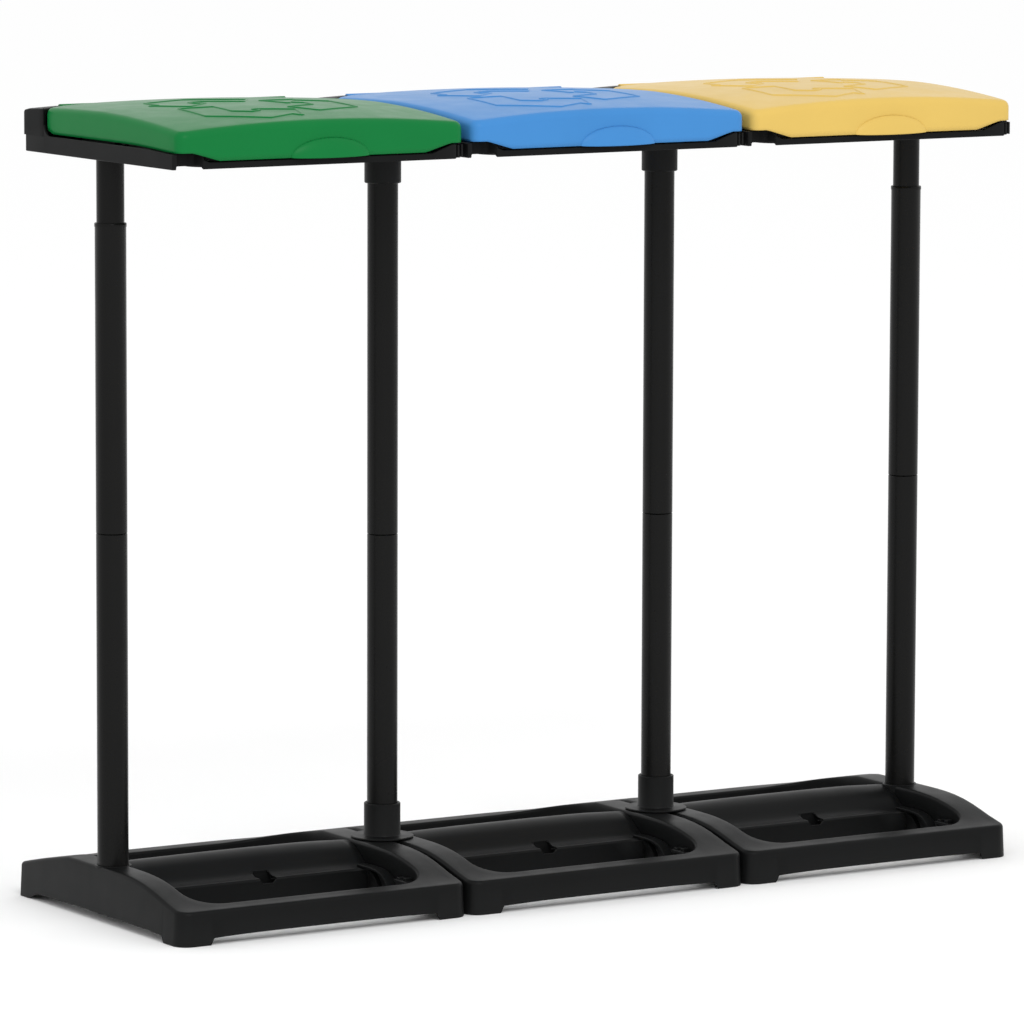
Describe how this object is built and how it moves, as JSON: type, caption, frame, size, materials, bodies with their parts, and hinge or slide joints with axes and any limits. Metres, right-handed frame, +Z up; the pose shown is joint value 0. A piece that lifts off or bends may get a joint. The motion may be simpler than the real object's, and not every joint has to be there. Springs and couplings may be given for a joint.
{
  "type": "recycling bin station",
  "caption": "Free-standing row of waste-bag stands on moulded bases, with shared posts, rim frames, bag rings and colour-coded hinged lids.",
  "frame": {"origin": "on the floor under the middle of the row, at the centre of the bounding box's bottom", "axes": "+X along the row to the right as seen from the front, +Y to the rear (the lids hinge on the +Y side), +Z up"},
  "size_m": [1.1526, 0.39, 0.936],
  "materials": {
    "base_black": "fine matt grain",
    "post_black": "satin, smooth",
    "neck_black": "satin, smooth",
    "collar_black": "satin",
    "rim_black": "fine matt grain",
    "ring_grey": "matt",
    "lid_green": "fine leather grain, soft sheen",
    "lid_blue": "fine leather grain, soft sheen",
    "lid_yellow": "fine leather grain, soft sheen",
    "pin_steel": "plain"
  },
  "bodies": {
    "stand": {"base_left": "base_black", "base_centre": "base_black", "base_right": "base_black", "post_lower_1": "post_black", "post_lower_2": "post_black", "post_lower_3": "post_black", "post_lower_4": "post_black", "post_upper_1": "post_black", "post_upper_2": "post_black", "post_upper_3": "post_black", "post_upper_4": "post_black", "post_neck_left": "neck_black", "post_neck_right": "neck_black", "base_collar_left": "collar_black", "base_collar_right": "collar_black", "rim_collar_left": "collar_black", "rim_collar_right": "collar_black", "rim_left": "rim_black", "rim_centre": "rim_black", "rim_right": "rim_black", "bag_ring_left": "ring_grey", "bag_ring_centre": "ring_grey", "bag_ring_right": "ring_grey", "hinge_pins_left": "pin_steel", "hinge_pins_centre": "pin_steel", "hinge_pins_right": "pin_steel"},
    "green_lid": {"lid_green": "lid_green"},
    "blue_lid": {"lid_blue": "lid_blue"},
    "yellow_lid": {"lid_yellow": "lid_yellow"}
  },
  "joints": [
    {"name": "green_lid_hinge", "type": "hinge", "parent": "stand", "child": "green_lid", "pos_m": [-0.385, 0.16, 0.924], "axis": [-1, 0, 0], "range_deg": [0, 100]},
    {"name": "blue_lid_hinge", "type": "hinge", "parent": "stand", "child": "blue_lid", "pos_m": [0, 0.16, 0.924], "axis": [-1, 0, 0], "range_deg": [0, 100]},
    {"name": "yellow_lid_hinge", "type": "hinge", "parent": "stand", "child": "yellow_lid", "pos_m": [0.385, 0.16, 0.924], "axis": [-1, 0, 0], "range_deg": [0, 100]}
  ]
}
